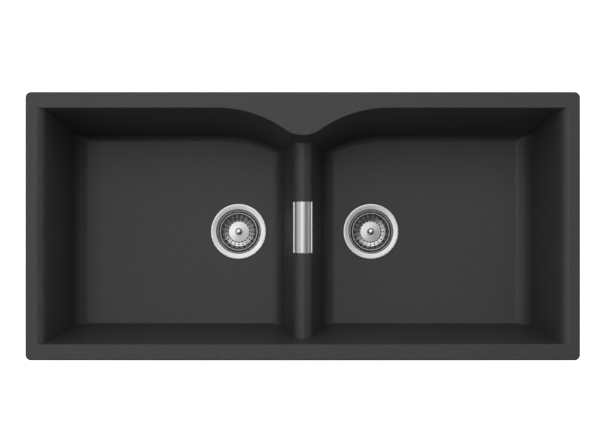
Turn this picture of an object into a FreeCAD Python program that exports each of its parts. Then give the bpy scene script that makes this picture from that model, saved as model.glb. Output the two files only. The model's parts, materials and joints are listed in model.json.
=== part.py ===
import FreeCAD, Part
import math
import os

# Double bowl kitchen sink, millimetres.
# +X runs to the right along the rim, +Y to the back (the tap side), +Z up.
# Z = 0 is the worktop's top face, on which the rim rests.

os.makedirs("parts", exist_ok=True)

V = FreeCAD.Vector

# ---- Rim ----------------------------------------------------------------------------------------
RIM_LENGTH = 1000.0
RIM_DEPTH = 484.0
RIM_THICKNESS = 9.0
RIM_CORNER_RADIUS = 10.0
RIM_EDGE_RADIUS = 3.0
TAPE_INSET = 4.0
TAPE_WIDTH = 6.0
TAPE_THICKNESS = 2.0

# ---- Bowls, levels counted down from the rim's top ----------------------------------------------
WALL = 9.0
BOWL_DEPTH = 200.0
FRONT_LEDGE = 29.3
BACK_LEDGE = 29.0
FRONT_LEAN = 26.1
BACK_LEAN = 28.2
FRONT_FILLET = 6.0
BACK_FILLET = 14.0
EDGE_ROUND = 1.8
SIDE_LEDGE = 19.0
SIDE_ROLL_REACH = 21.0
SIDE_ROLL_DROP = 50.0
SIDE_LEAN_DEG = 5.1
SIDE_FILLET = 30.0
SHOULDER_OUT = 1.0
SHOULDER_DROP = 2.0
ROLL_START_DEG = 4.0
ROLL_FULLNESS = 0.7
EDGE_START_DEG = 20.0
RUN_OUT_DEG = 4.0

# ---- Divider ------------------------------------------------------------------------------------
DIVIDER_DROP = 52.0
DIVIDER_TOP_RADIUS = 19.0
DIVIDER_LEAN_DEG = 10.7
DIVIDER_FILLET = 24.0

# ---- Tap ledge ----------------------------------------------------------------------------------
LEDGE_REACH = 49.3
LEDGE_TIP_RADIUS = 55.0
LEDGE_TURN_DEG = 35.0
TAP_HOLE_RADIUS = 17.5
TAP_HOLE_INSET = 37.0
TAP_HOLE_SKIN = 4.0

# ---- Fixing clips -------------------------------------------------------------------------------
WORKTOP_THICKNESS = 38.0
BOSS_RADIUS = 6.5
BOSS_DEPTH = 30.0
BOSS_INSET_Y = 19.0
BOSS_INSET_X = 20.0
BOSS_SHARES = (-0.4, -0.15, 0.15, 0.4)
SOCKET_RADIUS = 3.5
SOCKET_DEPTH = 22.0
SOCKET_COLLAR_RADIUS = 5.5
SOCKET_COLLAR = 1.0
CLIP_SCREW_RADIUS = 2.0
CLIP_SCREW_HEAD_RADIUS = 4.2
CLIP_SCREW_HEAD = 2.6
CLIP_SCREW_SHORT = 4.0
CLIP_HOLE_PLAY = 0.3
CLIP_WIDTH = 18.0
CLIP_SHEET = 2.0
CLIP_REACH = 17.0
CLIP_HEEL = 6.5
CLIP_FOOT = 7.0
CLIP_KNEE = 0.9
CLIP_DROP = 3.0
SCREW_SLOT = 1.2

# ---- Overflow in the divider --------------------------------------------------------------------
COVER_LENGTH = 94.4
COVER_SHEET = 1.2
COVER_HALF_WIDTH = 17.35
COVER_END_GAP = 0.6
SILL_DROP = 70.0
BRIDGE_THICKNESS = 14.0
OPENING_HALF_X = 7.5
OPENING_HALF_Y = 30.0
SADDLE_HALF_X = 14.0
SADDLE_HALF_Y = 42.0
SADDLE_SHEET = 1.5
SADDLE_SLOT_HALF_Y = 19.0
COVER_RIB_Y = 34.0
COVER_RIB_HALF_X = 12.0
COVER_RIB_BITE = 0.4
COVER_LIP = 1.2
TAB_GAP = 0.4
TAB_HALF_X = 8.0
TAB_HEIGHT = 10.0
OVERFLOW_SCREW_Y = 25.0
OVERFLOW_SCREW_RADIUS = 2.0
OVERFLOW_SCREW_LENGTH = 16.0
OVERFLOW_SCREW_PLAY = 0.2
OVERFLOW_HEAD_RADIUS = 4.0
OVERFLOW_HEAD = 2.0
PILLAR_RADIUS = 4.5
PILLAR_WEB = 3.0
PILLAR_SHORT = 1.0
COLLAR_HALF_X = 11.5
COLLAR_HALF_Y = 37.0
COLLAR_THICKNESS = 3.0
OVERFLOW_GASKET = 2.0
FUNNEL_WALL = 2.0
FUNNEL_HEIGHT = 42.0
SPIGOT_RADIUS = 9.0
SPIGOT_BORE = 7.0
SPIGOT_LENGTH = 32.0
HOSE_WALL = 1.3
HOSE_CUFF = 26.0
HOSE_END_GAP = 3.0
HOSE_RIB_HEIGHT = 1.6
HOSE_PITCH = 4.0
HOSE_RIB_SHARES = ((0.0, 0), (0.25, 1), (0.55, 1), (0.8, 0))
CLIP_BAND = 1.0
CLIP_BAND_WIDTH = 8.0
WORM_HOUSING_HALF = 6.0
WORM_HOUSING_FROM = 0.4
WORM_HOUSING_HEIGHT = 5.0
WORM_RADIUS = 2.2
WORM_HEAD_X = 9.0
WORM_AXIS = 3.2

# ---- Strainer wastes, levels counted from the bowl floor ----------------------------------------
WASTE_SPACING = 262.4
WASTE_SHIFT_X = 4.0
WASTE_Y = -3.1
WASTE_HOLE_RADIUS = 45.0
RECESS_RADIUS = 56.2
RECESS_DEPTH = 2.2
FLANGE_RADIUS = 55.0
FLANGE_EDGE = 0.8
FLANGE_SEAL_INNER = 46.0
FLANGE_SEAL_OUTER = 52.5
DISH_SHEET = 1.0
DISH_EDGE_LEVEL = 0.6
DISH_LIP_RADIUS = 43.2
DISH_LIP_LEVEL = -0.5
DISH_THROAT_RADIUS = 41.2
DISH_THROAT_LEVEL = -13.0
DISH_STEP_RADIUS = 39.0
DISH_STEP_LEVEL = -15.0
DISH_WALL_RADIUS = 37.6
SEAT_LEVEL = -29.5
SEAT_INNER = 19.5
CUP_LEVEL = -39.0
CUP_BORDER = 2.5
DISH_BENDS = (0, 1.5, 1.5, 4.0, 1.5, 2.0, 2.0, 0, 0)
HUB_RADIUS = 8.0
HUB_ARM = 5.0
BOLT_RADIUS = 3.0
BOLT_HEAD_RADIUS = 6.0
BOLT_HEAD = 4.0
BOLT_LENGTH = 21.0
BOLT_SOCKET_DEPTH = 3.2
BOLT_SLOT = 1.4
BOLT_PLAY = 0.2
FIT = 0.06

UNDER_GASKET = 2.5
UNDER_GASKET_INNER = 46.0
UNDER_GASKET_OUTER = 56.5
BODY_FLANGE_RADIUS = 57.5
BODY_FLANGE = 4.5
BODY_BORE = 44.6
BODY_WALL = 3.0
BODY_CUP_LEVEL = -46.0
BODY_TAPER_LEVEL = -58.0
OUTLET_BORE = 19.5
OUTLET_RADIUS = 23.9
OUTLET_LEVEL = -74.0
BODY_HUB_RADIUS = 6.5
BODY_HUB_TOP = -50.0
BODY_HUB_DEPTH = 6.0
BODY_ARM = 3.0

# ---- Baskets ------------------------------------------------------------------------------------
BASKET_SHEET = 0.8
BASKET_RIM_RADIUS = 36.4
BASKET_RIM_LEVEL = -5.2
BASKET_RIM_ROLL = 1.3
BASKET_KNEE_RADIUS = 29.2
BASKET_KNEE_LEVEL = -15.2
BASKET_GROOVE_RADIUS = 21.6
BASKET_GROOVE_LEVEL = -17.0
DOME_RADIUS = 20.4
DOME_EDGE_LEVEL = -16.0
DOME_LEVEL = -15.0
DOME_FLAT_RADIUS = 8.0
BASKET_BENDS = (0, 6.0, 1.4, 0.6, 1.5, 0)
HOLES_PER_ROW = 20
HOLE_RADIUS = 1.4
HOLE_ROWS = (21.2, 26.0)
WALL_HOLE_RADIUS = 31.6
KNOB_RADIUS = 6.8
KNOB_CROWN = 12.0
KNOB_EDGE = 1.6
KNOB_TOP = -0.6
KNOB_BOTTOM = -7.0
KNOB_NECK_RADIUS = 4.2
KNOB_HOLLOW = 0.5
STEM_RADIUS = 3.0
STEM_TIP_RADIUS = 2.5
STEM_TOP = -8.0
STEM_STEP = -33.0
STEM_TIP = -37.6
SPACER_RADIUS = 6.5
SEAL_RADIUS = 25.5
SEAL_HEIGHT = 4.5
NUT_RADIUS = 5.8
NUT_HEIGHT = 3.0

# ---- Pipework -----------------------------------------------------------------------------------
WASHER = 2.0
PIPE_RADIUS = 20.0
PIPE_BORE = 17.8
PIPE_COLLAR = 4.0
PIPE_COLLAR_RADIUS = 23.6
BEND_RADIUS = 36.0
PIPE_DROP = 16.0
NUT_WALL = 4.6
NUT_LIP = 4.0
NUT_CLEARANCE = 0.3
OUTLET_NUT_LENGTH = 24.0
NUT_FLUTES = 12
FLUTE_RADIUS = 4.0
FLUTE_BITE = 1.3
FLUTE_FROM = 3.0
TEE_RADIUS = 25.0
TEE_HALF = 50.0
TEE_SOCKET_FROM = 28.0
TEE_SOCKET_CLEARANCE = 0.15
PIPE_END = 30.0
TEE_SEAL = 4.0
TEE_SEAL_PLAY = 0.4
TEE_NUT_LENGTH = 20.0
TAIL_LENGTH = 62.0
TAIL_FREE = 37.0
TAIL_COLLAR_RADIUS = 22.5
TEE_SPIGOT_LENGTH = 30.0

# How far a cutting shape runs past the faces that it cuts.
PAST = 1.0

# ---- Derived levels -----------------------------------------------------------------------------
TOP = RIM_THICKNESS
FRONT_EDGE_Y = FRONT_LEDGE - RIM_DEPTH / 2.0
BACK_EDGE_Y = RIM_DEPTH / 2.0 - BACK_LEDGE
SIDE_EDGE_X = RIM_LENGTH / 2.0 - SIDE_LEDGE
SIDE_ROLL_X = SIDE_EDGE_X - SIDE_ROLL_REACH
LEDGE_TIP_Y = BACK_EDGE_Y - LEDGE_REACH
TAP_HOLE_Y = RIM_DEPTH / 2.0 - TAP_HOLE_INSET
BOSS_LINE_Y = RIM_DEPTH / 2.0 - BOSS_INSET_Y
BOSS_LINE_X = RIM_LENGTH / 2.0 - BOSS_INSET_X
FLOOR = TOP - BOWL_DEPTH
UNDERSIDE = FLOOR - WALL
SILL = TOP - SILL_DROP
BRIDGE_UNDER = SILL - BRIDGE_THICKNESS
DIVIDER_AXIS_Z = TOP - DIVIDER_DROP - DIVIDER_TOP_RADIUS
OUTLET_Z = FLOOR + OUTLET_LEVEL
PIPE_TOP = OUTLET_Z - WASHER
RUN_Z = PIPE_TOP - PIPE_DROP - BEND_RADIUS
HOSE_TOP = BRIDGE_UNDER - OVERFLOW_GASKET - COLLAR_THICKNESS - FUNNEL_HEIGHT - HOSE_END_GAP
HOSE_LOW = RUN_Z + TEE_RADIUS + HOSE_END_GAP
SEAL_TOP = SEAT_LEVEL + SEAL_HEIGHT
FAR = 0.64 * RIM_LENGTH
OVER = 12.0

SIDES = (("left", -1.0), ("right", 1.0))


# ---- Helpers ------------------------------------------------------------------------------------
def save(name, shape):
    if shape.ShapeType == "Compound" and len(shape.Solids) == 1:
        shape = shape.Solids[0]
    shape.exportStep("parts/" + name + ".step")
    print(name, "valid", shape.isValid(), "solids", len(shape.Solids))


def save_low(name, shape):
    # the wastes and pipes are drawn at Y = 0 and stand at the wastes' own Y
    shape.translate(V(0, WASTE_Y, 0))
    save(name, shape)


def waste_x(side):
    return side * WASTE_SPACING / 2.0 + WASTE_SHIFT_X


def turn(angle_deg):
    return V(math.cos(math.radians(angle_deg)), 0, math.sin(math.radians(angle_deg)))


def line(a, b):
    return Part.LineSegment(a, b).toShape()


def arc_about(centre, start, end, radius):
    middle = (start - centre) + (end - centre)
    middle.normalize()
    return Part.Arc(start, centre + middle * radius, end).toShape()


def block(x0, x1, y0, y1, z0, z1):
    return Part.makeBox(x1 - x0, y1 - y0, z1 - z0, V(x0, y0, z0))


def rod(radius, x, y, z0, z1):
    return Part.makeCylinder(radius, z1 - z0, V(x, y, z0))


def ring(outer, inner, x, y, z0, z1):
    return rod(outer, x, y, z0, z1).cut(rod(inner, x, y, z0 - PAST, z1 + PAST))


def rod_along_x(radius, x0, x1, y, z):
    return Part.makeCylinder(radius, x1 - x0, V(x0, y, z), V(1, 0, 0))


def rounded_slab(half_x, half_y, radius, z0, z1):
    slab = block(-half_x, half_x, -half_y, half_y, z0, z1)
    uprights = [e for e in slab.Edges if abs(e.Vertexes[0].Z - e.Vertexes[1].Z) > 0.1]
    return slab.makeFillet(radius, uprights)


def revolved(points, axis_x=0.0, axis_y=0.0):
    corners = [V(axis_x + r, axis_y, z) for r, z in points]
    face = Part.Face(Part.makePolygon(corners + [corners[0]]))
    return face.revolve(V(axis_x, axis_y, 0), V(0, 0, 1), 360)


def offset_open(points, distance):
    moved = []
    for i, (r, z) in enumerate(points):
        normals = []
        for a, b in ((i - 1, i), (i, i + 1)):
            if a < 0 or b >= len(points):
                continue
            dr = points[b][0] - points[a][0]
            dz = points[b][1] - points[a][1]
            size = math.hypot(dr, dz)
            normals.append((-dz / size, dr / size))
        nr = sum(n[0] for n in normals) / len(normals)
        nz = sum(n[1] for n in normals) / len(normals)
        scale = distance / (nr * nr + nz * nz)
        moved.append((r + nr * scale, z + nz * scale))
    return moved


def rounded_face(points, radii):
    # closed outline in the XZ plane, each corner rounded by its own radius
    count = len(points)
    corners = [V(r, 0, z) for r, z in points]
    starts = []
    ends = []
    arcs = []
    for i, corner in enumerate(corners):
        before = corners[i - 1] - corner
        after = corners[(i + 1) % count] - corner
        radius = radii[i]
        if radius <= 0:
            starts.append(corner)
            ends.append(corner)
            arcs.append(None)
            continue
        half = before.getAngle(after) / 2.0
        reach = radius / math.tan(half)
        before.normalize()
        after.normalize()
        a = corner + before * reach
        b = corner + after * reach
        inward = before + after
        inward.normalize()
        centre = corner + inward * (radius / math.sin(half))
        starts.append(a)
        ends.append(b)
        arcs.append(arc_about(centre, a, b, radius))
    edges = []
    for i in range(count):
        if arcs[i] is not None:
            edges.append(arcs[i])
        a = ends[i]
        b = starts[(i + 1) % count]
        if (b - a).Length > 1e-6:
            edges.append(line(a, b))
    return Part.Face(Part.Wire(Part.__sortEdges__(edges)))


def sheet_face(points, radii, thickness):
    # pressed sheet below an open line of points, with the bends kept even
    lower = offset_open(points, -thickness)
    low_radii = []
    for i in range(len(points)):
        if radii[i] <= 0:
            low_radii.append(0)
            continue
        ar = points[i][0] - points[i - 1][0]
        az = points[i][1] - points[i - 1][1]
        br = points[i + 1][0] - points[i][0]
        bz = points[i + 1][1] - points[i][1]
        side = 1.0 if ar * bz - az * br > 0 else -1.0
        low_radii.append(radii[i] + side * thickness)
    outline = list(points) + list(reversed(lower))
    return rounded_face(outline, list(radii) + list(reversed(low_radii)))


def spun(face, x=0.0, y=0.0, z=0.0):
    solid = face.revolve(V(0, 0, 0), V(0, 0, 1), 360)
    solid.translate(V(x, y, z))
    return solid


def mirrored(edges):
    return [e.mirror(V(0, 0, 0), V(1, 0, 0)) for e in edges]


# ---- The bowls' sections ------------------------------------------------------------------------
def divider_points(grown):
    normal = turn(DIVIDER_LEAN_DEG)
    axis = V(0, 0, DIVIDER_AXIS_Z)
    shoulder = axis + normal * (DIVIDER_TOP_RADIUS - grown)
    reach = DIVIDER_TOP_RADIUS + DIVIDER_FILLET
    centre_z = FLOOR + DIVIDER_FILLET
    centre_x = (reach - (centre_z - axis.z) * normal.z) / normal.x
    centre = V(centre_x, 0, centre_z)
    radius = DIVIDER_FILLET + grown
    wall_end = centre - normal * radius
    floor_end = V(centre_x, 0, FLOOR - grown)
    return shoulder, wall_end, floor_end, centre, radius


def side_points(grown):
    normal = turn(180.0 - SIDE_LEAN_DEG)
    base = V(SIDE_ROLL_X, 0, TOP - SIDE_ROLL_DROP)
    reach = base.x * normal.x + base.z * normal.z + SIDE_FILLET
    centre_z = FLOOR + SIDE_FILLET
    centre_x = (reach - centre_z * normal.z) / normal.x
    centre = V(centre_x, 0, centre_z)
    radius = SIDE_FILLET + grown
    wall_end = centre - normal * radius
    floor_end = V(centre_x, 0, FLOOR - grown)
    return floor_end, wall_end, base - normal * grown, centre, radius


def lower_section(grown):
    shoulder, foot, floor_a, centre_a, radius_a = divider_points(grown)
    floor_b, heel, base, centre_b, radius_b = side_points(grown)
    right = [
        line(shoulder, foot),
        arc_about(centre_a, foot, floor_a, radius_a),
        line(floor_a, floor_b),
        arc_about(centre_b, floor_b, heel, radius_b),
        line(heel, base),
    ]
    crown = V(0, 0, DIVIDER_AXIS_Z + DIVIDER_TOP_RADIUS - grown)
    left_shoulder = V(-shoulder.x, 0, shoulder.z)
    crest = Part.Arc(left_shoulder, crown, shoulder).toShape()
    return right, crest, base


def roll_edge(base):
    wall = turn(90.0 - SIDE_LEAN_DEG)
    start = turn(ROLL_START_DEG)
    edge = V(SIDE_EDGE_X, 0, TOP)
    curve = Part.BezierCurve()
    below = base + wall * (ROLL_FULLNESS * SIDE_ROLL_DROP)
    beside = edge - start * (ROLL_FULLNESS * SIDE_ROLL_REACH)
    curve.setPoles([base, below, beside, edge])
    return curve.toShape(), edge


def bowl_section():
    right, crest, base = lower_section(0.0)
    roll, edge = roll_edge(base)
    above = V(edge.x, 0, TOP + OVER)
    right = right + [roll, line(edge, above)]
    lid = line(V(-above.x, 0, above.z), above)
    edges = right + mirrored(right) + [crest, lid]
    return Part.Face(Part.Wire(Part.__sortEdges__(edges)))


def shell_section():
    right, crest, base = lower_section(WALL)
    shoulder = V(SIDE_EDGE_X + SHOULDER_OUT, 0, -SHOULDER_DROP)
    above = V(shoulder.x, 0, TOP / 2.0)
    right = right + [line(base, shoulder), line(shoulder, above)]
    lid = line(V(-above.x, 0, above.z), above)
    edges = right + mirrored(right) + [crest, lid]
    return Part.Face(Part.Wire(Part.__sortEdges__(edges)))


def wall_outline(lean, fillet, edge_round, grown):
    # section of a front or back wall; positive is outward, zero is the rim's edge
    wall = V(-lean, 0, -BOWL_DEPTH)
    wall.normalize()
    inward = V(wall.z, 0, -wall.x)
    radius = fillet + grown
    floor_z = FLOOR - grown
    run = math.radians(RUN_OUT_DEG)
    centre_z = floor_z + radius * math.cos(run)
    base = V(0, 0, TOP)
    reach = inward.x * base.x + inward.z * base.z + radius
    centre = V((reach - centre_z * inward.z) / inward.x, 0, centre_z)
    wall_end = centre - inward * radius
    floor_end = centre + V(-math.sin(run), 0, -math.cos(run)) * radius
    low = floor_end + V(-OVER, 0, -OVER * math.tan(run))
    edges = []
    if edge_round > 0:
        slope = math.radians(EDGE_START_DEG)
        rim_normal = V(-math.sin(slope), 0, math.cos(slope))
        centre_top = V(0, 0, TOP - edge_round * math.cos(slope))
        reach_top = inward.z * base.z - edge_round
        centre_top.x = (reach_top - centre_top.z * inward.z) / inward.x
        top_start = centre_top + rim_normal * edge_round
        wall_start = centre_top + inward * edge_round
        high = top_start + V(math.cos(slope), 0, math.sin(slope)) * (OVER / math.sin(slope))
        edges.append(line(high, top_start))
        edges.append(arc_about(centre_top, top_start, wall_start, edge_round))
    else:
        wall_start = base
        high = base + V(0, 0, OVER)
        edges.append(line(high, wall_start))
    edges.append(line(wall_start, wall_end))
    edges.append(arc_about(centre, wall_end, floor_end, radius))
    edges.append(line(floor_end, low))
    far_low = V(-FAR, 0, low.z)
    far_high = V(-FAR, 0, high.z)
    edges.append(line(low, far_low))
    edges.append(line(far_low, far_high))
    edges.append(line(far_high, high))
    return edges


def stand_in_yz(edges, x, y, facing):
    # the outline's outward direction becomes +Y or -Y
    wire = Part.Wire(Part.__sortEdges__(edges))
    if facing > 0:
        wire.rotate(V(0, 0, 0), V(0, 0, 1), 90)
    else:
        wire.rotate(V(0, 0, 0), V(0, 0, 1), -90)
    wire.translate(V(x, y, 0))
    return wire


def ledge_line(grown):
    turned = math.radians(LEDGE_TURN_DEG)
    tip_radius = LEDGE_TIP_RADIUS - grown
    tip_centre = V(0, LEDGE_TIP_Y + LEDGE_TIP_RADIUS, 0)
    rise = BACK_EDGE_Y - LEDGE_TIP_Y
    both = rise / (1.0 - math.cos(turned))
    bow_radius = both - LEDGE_TIP_RADIUS + grown
    bow_centre = V(both * math.sin(turned), BACK_EDGE_Y - both + LEDGE_TIP_RADIUS, 0)
    join = tip_centre + V(math.sin(turned), -math.cos(turned), 0) * tip_radius
    bow_end = bow_centre + V(0, bow_radius, 0)
    bow_middle = (join - bow_centre) + (bow_end - bow_centre)
    bow_middle.normalize()
    right = [
        Part.Arc(join, bow_centre + bow_middle * bow_radius, bow_end).toShape(),
        line(bow_end, V(FAR, bow_end.y, 0)),
    ]
    left_join = V(-join.x, join.y, 0)
    tip = Part.Arc(left_join, tip_centre + V(0, -tip_radius, 0), join).toShape()
    return Part.Wire(Part.__sortEdges__(mirrored(right) + [tip] + right))


def back_region(grown, edge_round):
    spine = ledge_line(grown)
    outline = wall_outline(BACK_LEAN, BACK_FILLET, edge_round, grown)
    profile = stand_in_yz(outline, -FAR, BACK_EDGE_Y + grown, 1)
    sweep = Part.BRepOffsetAPI.MakePipeShell(spine)
    sweep.setTrihedronMode(V(0, 0, 0), V(0, 0, 1))
    sweep.add(profile)
    sweep.build()
    sweep.makeSolid()
    return sweep.shape()


def front_region(grown, edge_round):
    outline = wall_outline(FRONT_LEAN, FRONT_FILLET, edge_round, grown)
    profile = stand_in_yz(outline, -FAR, FRONT_EDGE_Y - grown, -1)
    return Part.Face(profile).extrude(V(2.0 * FAR, 0, 0))


def along_y(face):
    prism = face.copy()
    prism.translate(V(0, -FAR / 2.0, 0))
    return prism.extrude(V(0, FAR, 0))


# ---- The moulded sink ---------------------------------------------------------------------------
def boss_places():
    places = []
    for share in BOSS_SHARES:
        x = share * RIM_LENGTH
        places.append((x, -BOSS_LINE_Y, V(0, -1, 0)))
        places.append((x, BOSS_LINE_Y, V(0, 1, 0)))
    places.append((-BOSS_LINE_X, 0.0, V(-1, 0, 0)))
    places.append((BOSS_LINE_X, 0.0, V(1, 0, 0)))
    return places


def rim_plate():
    plate = rounded_slab(RIM_LENGTH / 2.0, RIM_DEPTH / 2.0, RIM_CORNER_RADIUS, 0.0, TOP)
    upper = [e for e in plate.Edges if all(abs(v.Z - TOP) < 1e-6 for v in e.Vertexes)]
    return plate.makeFillet(RIM_EDGE_RADIUS, upper)


def tape_ring():
    outer_x = RIM_LENGTH / 2.0 - TAPE_INSET
    outer_y = RIM_DEPTH / 2.0 - TAPE_INSET
    radius = RIM_CORNER_RADIUS - TAPE_INSET
    outer = rounded_slab(outer_x, outer_y, radius, 0.0, TAPE_THICKNESS)
    inner_x = outer_x - TAPE_WIDTH
    inner_y = outer_y - TAPE_WIDTH
    inner = block(-inner_x, inner_x, -inner_y, inner_y, -PAST, TAPE_THICKNESS + PAST)
    return outer.cut(inner)


def sink_basin():
    body = along_y(shell_section())
    body = body.common(front_region(WALL, 0.0))
    body = body.common(back_region(WALL, 0.0))
    bridge_x = SADDLE_HALF_X - PAST
    bridge_y = COVER_LENGTH / 2.0
    bridge = block(-bridge_x, bridge_x, -bridge_y, bridge_y, BRIDGE_UNDER, SILL + SADDLE_SHEET)
    bosses = [rod(BOSS_RADIUS, x, y, -BOSS_DEPTH, TOP / 3.0) for x, y, _ in boss_places()]
    basin = rim_plate().fuse([body, bridge] + bosses)
    cavity = along_y(bowl_section())
    cavity = cavity.common(front_region(0.0, EDGE_ROUND))
    cavity = cavity.common(back_region(0.0, EDGE_ROUND))
    basin = basin.cut(cavity)
    cuts = [tape_ring(), rod(TAP_HOLE_RADIUS, 0.0, TAP_HOLE_Y, -PAST, TOP - TAP_HOLE_SKIN)]
    for x, y, _ in boss_places():
        cuts.append(rod(SOCKET_RADIUS, x, y, -BOSS_DEPTH - PAST, SOCKET_DEPTH - BOSS_DEPTH))
    cover_y = COVER_LENGTH / 2.0 + COVER_END_GAP
    crest = 2.0 * DIVIDER_TOP_RADIUS
    cuts.append(block(-crest, crest, -cover_y, cover_y, SILL, SILL + crest))
    cuts.append(block(-OPENING_HALF_X, OPENING_HALF_X, -OPENING_HALF_Y, OPENING_HALF_Y,
                      BRIDGE_UNDER - PAST, SILL + PAST))
    for _, side in SIDES:
        x = waste_x(side)
        cuts.append(rod(WASTE_HOLE_RADIUS, x, WASTE_Y, UNDERSIDE - PAST, FLOOR + PAST))
        cuts.append(rod(RECESS_RADIUS, x, WASTE_Y, FLOOR - RECESS_DEPTH, FLOOR + PAST))
    return basin.cut(cuts).removeSplitter()


# ---- Fixing clips -------------------------------------------------------------------------------
def facing(shape, outward, x, y):
    # shapes are drawn with +X as outward
    angle = math.degrees(math.atan2(outward.y, outward.x))
    shape.rotate(V(0, 0, 0), V(0, 0, 1), angle)
    shape.translate(V(x, y, 0))
    return shape


def clip_socket(x, y):
    tube = rod(SOCKET_RADIUS, x, y, -BOSS_DEPTH, SOCKET_DEPTH - BOSS_DEPTH)
    collar = rod(SOCKET_COLLAR_RADIUS, x, y, -BOSS_DEPTH - SOCKET_COLLAR, -BOSS_DEPTH)
    bore_top = SOCKET_DEPTH - BOSS_DEPTH - CLIP_SCREW_SHORT / 2.0
    bore = rod(CLIP_SCREW_RADIUS, x, y, -BOSS_DEPTH - SOCKET_COLLAR - PAST, bore_top)
    return tube.fuse(collar).cut(bore)


def clip_arm(x, y, outward):
    level = -WORKTOP_THICKNESS
    low = level - CLIP_DROP
    points = [
        (-CLIP_HEEL, low), (CLIP_FOOT, low), (CLIP_FOOT + 2.0 * CLIP_DROP, level), (CLIP_REACH, level),
        (CLIP_REACH, level - CLIP_SHEET), (CLIP_FOOT + CLIP_KNEE + 2.0 * CLIP_DROP, level - CLIP_SHEET),
        (CLIP_FOOT + CLIP_KNEE, low - CLIP_SHEET), (-CLIP_HEEL, low - CLIP_SHEET),
    ]
    corners = [V(r, -CLIP_WIDTH / 2.0, z) for r, z in points]
    arm = Part.Face(Part.makePolygon(corners + [corners[0]])).extrude(V(0, CLIP_WIDTH, 0))
    arm = arm.cut(rod(CLIP_SCREW_RADIUS + CLIP_HOLE_PLAY, 0, 0, low - CLIP_SHEET - PAST, low + PAST))
    return facing(arm, outward, x, y)


def clip_screw(x, y):
    under = -WORKTOP_THICKNESS - CLIP_DROP - CLIP_SHEET
    shank = rod(CLIP_SCREW_RADIUS, x, y, under, SOCKET_DEPTH - BOSS_DEPTH - CLIP_SCREW_SHORT)
    head = rod(CLIP_SCREW_HEAD_RADIUS, x, y, under - CLIP_SCREW_HEAD, under)
    reach = CLIP_SCREW_HEAD_RADIUS + PAST
    low = under - CLIP_SCREW_HEAD
    half = SCREW_SLOT / 2.0
    slot = block(x - reach, x + reach, y - half, y + half, low - PAST, low + SCREW_SLOT)
    return shank.fuse(head).cut(slot)


# ---- Overflow -----------------------------------------------------------------------------------
def overflow_cover():
    outer = DIVIDER_TOP_RADIUS
    inner = outer - COVER_SHEET
    half = COVER_LENGTH / 2.0
    centre = V(0, -half, DIVIDER_AXIS_Z)
    tube = Part.makeCylinder(outer, COVER_LENGTH, centre, V(0, 1, 0))
    core = Part.makeCylinder(inner, COVER_LENGTH + 2.0 * PAST, centre - V(0, PAST, 0), V(0, 1, 0))
    bend_x = COVER_HALF_WIDTH - COVER_LIP
    edge_z = DIVIDER_AXIS_Z + math.sqrt(outer ** 2 - bend_x ** 2)
    window = block(-outer, outer, -half, half, edge_z, edge_z + 2.0 * outer)
    lip_x = bend_x - COVER_SHEET
    lips = [
        block(lip_x, COVER_HALF_WIDTH, -half, half, edge_z, edge_z + COVER_SHEET),
        block(-COVER_HALF_WIDTH, -lip_x, -half, half, edge_z, edge_z + COVER_SHEET),
    ]
    cover = tube.cut(core).common(window).fuse(lips)
    plate_top = SILL + SADDLE_SHEET
    for side in (-1.0, 1.0):
        y0 = side * COVER_RIB_Y - COVER_SHEET / 2.0
        rib = Part.makeCylinder(inner + COVER_RIB_BITE, COVER_SHEET, V(0, y0, DIVIDER_AXIS_Z), V(0, 1, 0))
        width = block(-COVER_RIB_HALF_X, COVER_RIB_HALF_X, y0 - PAST, y0 + COVER_SHEET + PAST, plate_top, TOP)
        cover = cover.fuse(rib.common(width))
    return cover


def overflow_saddle():
    plate = block(-SADDLE_HALF_X, SADDLE_HALF_X, -SADDLE_HALF_Y, SADDLE_HALF_Y, SILL, SILL + SADDLE_SHEET)
    top = SILL + SADDLE_SHEET
    near = COVER_RIB_Y + COVER_SHEET / 2.0 + TAB_GAP
    for side in (-1.0, 1.0):
        y0 = min(side * near, side * (near + COVER_SHEET))
        plate = plate.fuse(block(-TAB_HALF_X, TAB_HALF_X, y0, y0 + COVER_SHEET, SILL, top + TAB_HEIGHT))
    plate = plate.cut(block(-OPENING_HALF_X, OPENING_HALF_X, -SADDLE_SLOT_HALF_Y, SADDLE_SLOT_HALF_Y,
                            SILL - PAST, top + PAST))
    hole = OVERFLOW_SCREW_RADIUS + OVERFLOW_SCREW_PLAY
    for side in (-1.0, 1.0):
        plate = plate.cut(rod(hole, 0, side * OVERFLOW_SCREW_Y, SILL - PAST, top + PAST))
    return plate


def overflow_screws():
    screws = []
    top = SILL + SADDLE_SHEET
    for side in (-1.0, 1.0):
        y = side * OVERFLOW_SCREW_Y
        shank = rod(OVERFLOW_SCREW_RADIUS, 0, y, top - OVERFLOW_SCREW_LENGTH, top)
        head = rod(OVERFLOW_HEAD_RADIUS, 0, y, top, top + OVERFLOW_HEAD)
        reach = OVERFLOW_HEAD_RADIUS + PAST
        crown = top + OVERFLOW_HEAD
        half = SCREW_SLOT / 2.0
        slot = block(-half, half, y - reach, y + reach, crown - SCREW_SLOT, crown + PAST)
        screws.append(shank.fuse(head).cut(slot))
    return Part.makeCompound(screws)


def overflow_gasket():
    z1 = BRIDGE_UNDER
    z0 = z1 - OVERFLOW_GASKET
    outer = block(-COLLAR_HALF_X, COLLAR_HALF_X, -COLLAR_HALF_Y, COLLAR_HALF_Y, z0, z1)
    inner = block(-OPENING_HALF_X, OPENING_HALF_X, -OPENING_HALF_Y, OPENING_HALF_Y, z0 - PAST, z1 + PAST)
    return outer.cut(inner)


def hopper(half_x, half_top, half_low, z_top, z_low):
    corners = [V(-half_x, -half_top, z_top), V(-half_x, half_top, z_top),
               V(-half_x, half_low, z_low), V(-half_x, -half_low, z_low)]
    return Part.Face(Part.makePolygon(corners + [corners[0]])).extrude(V(2.0 * half_x, 0, 0))


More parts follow.
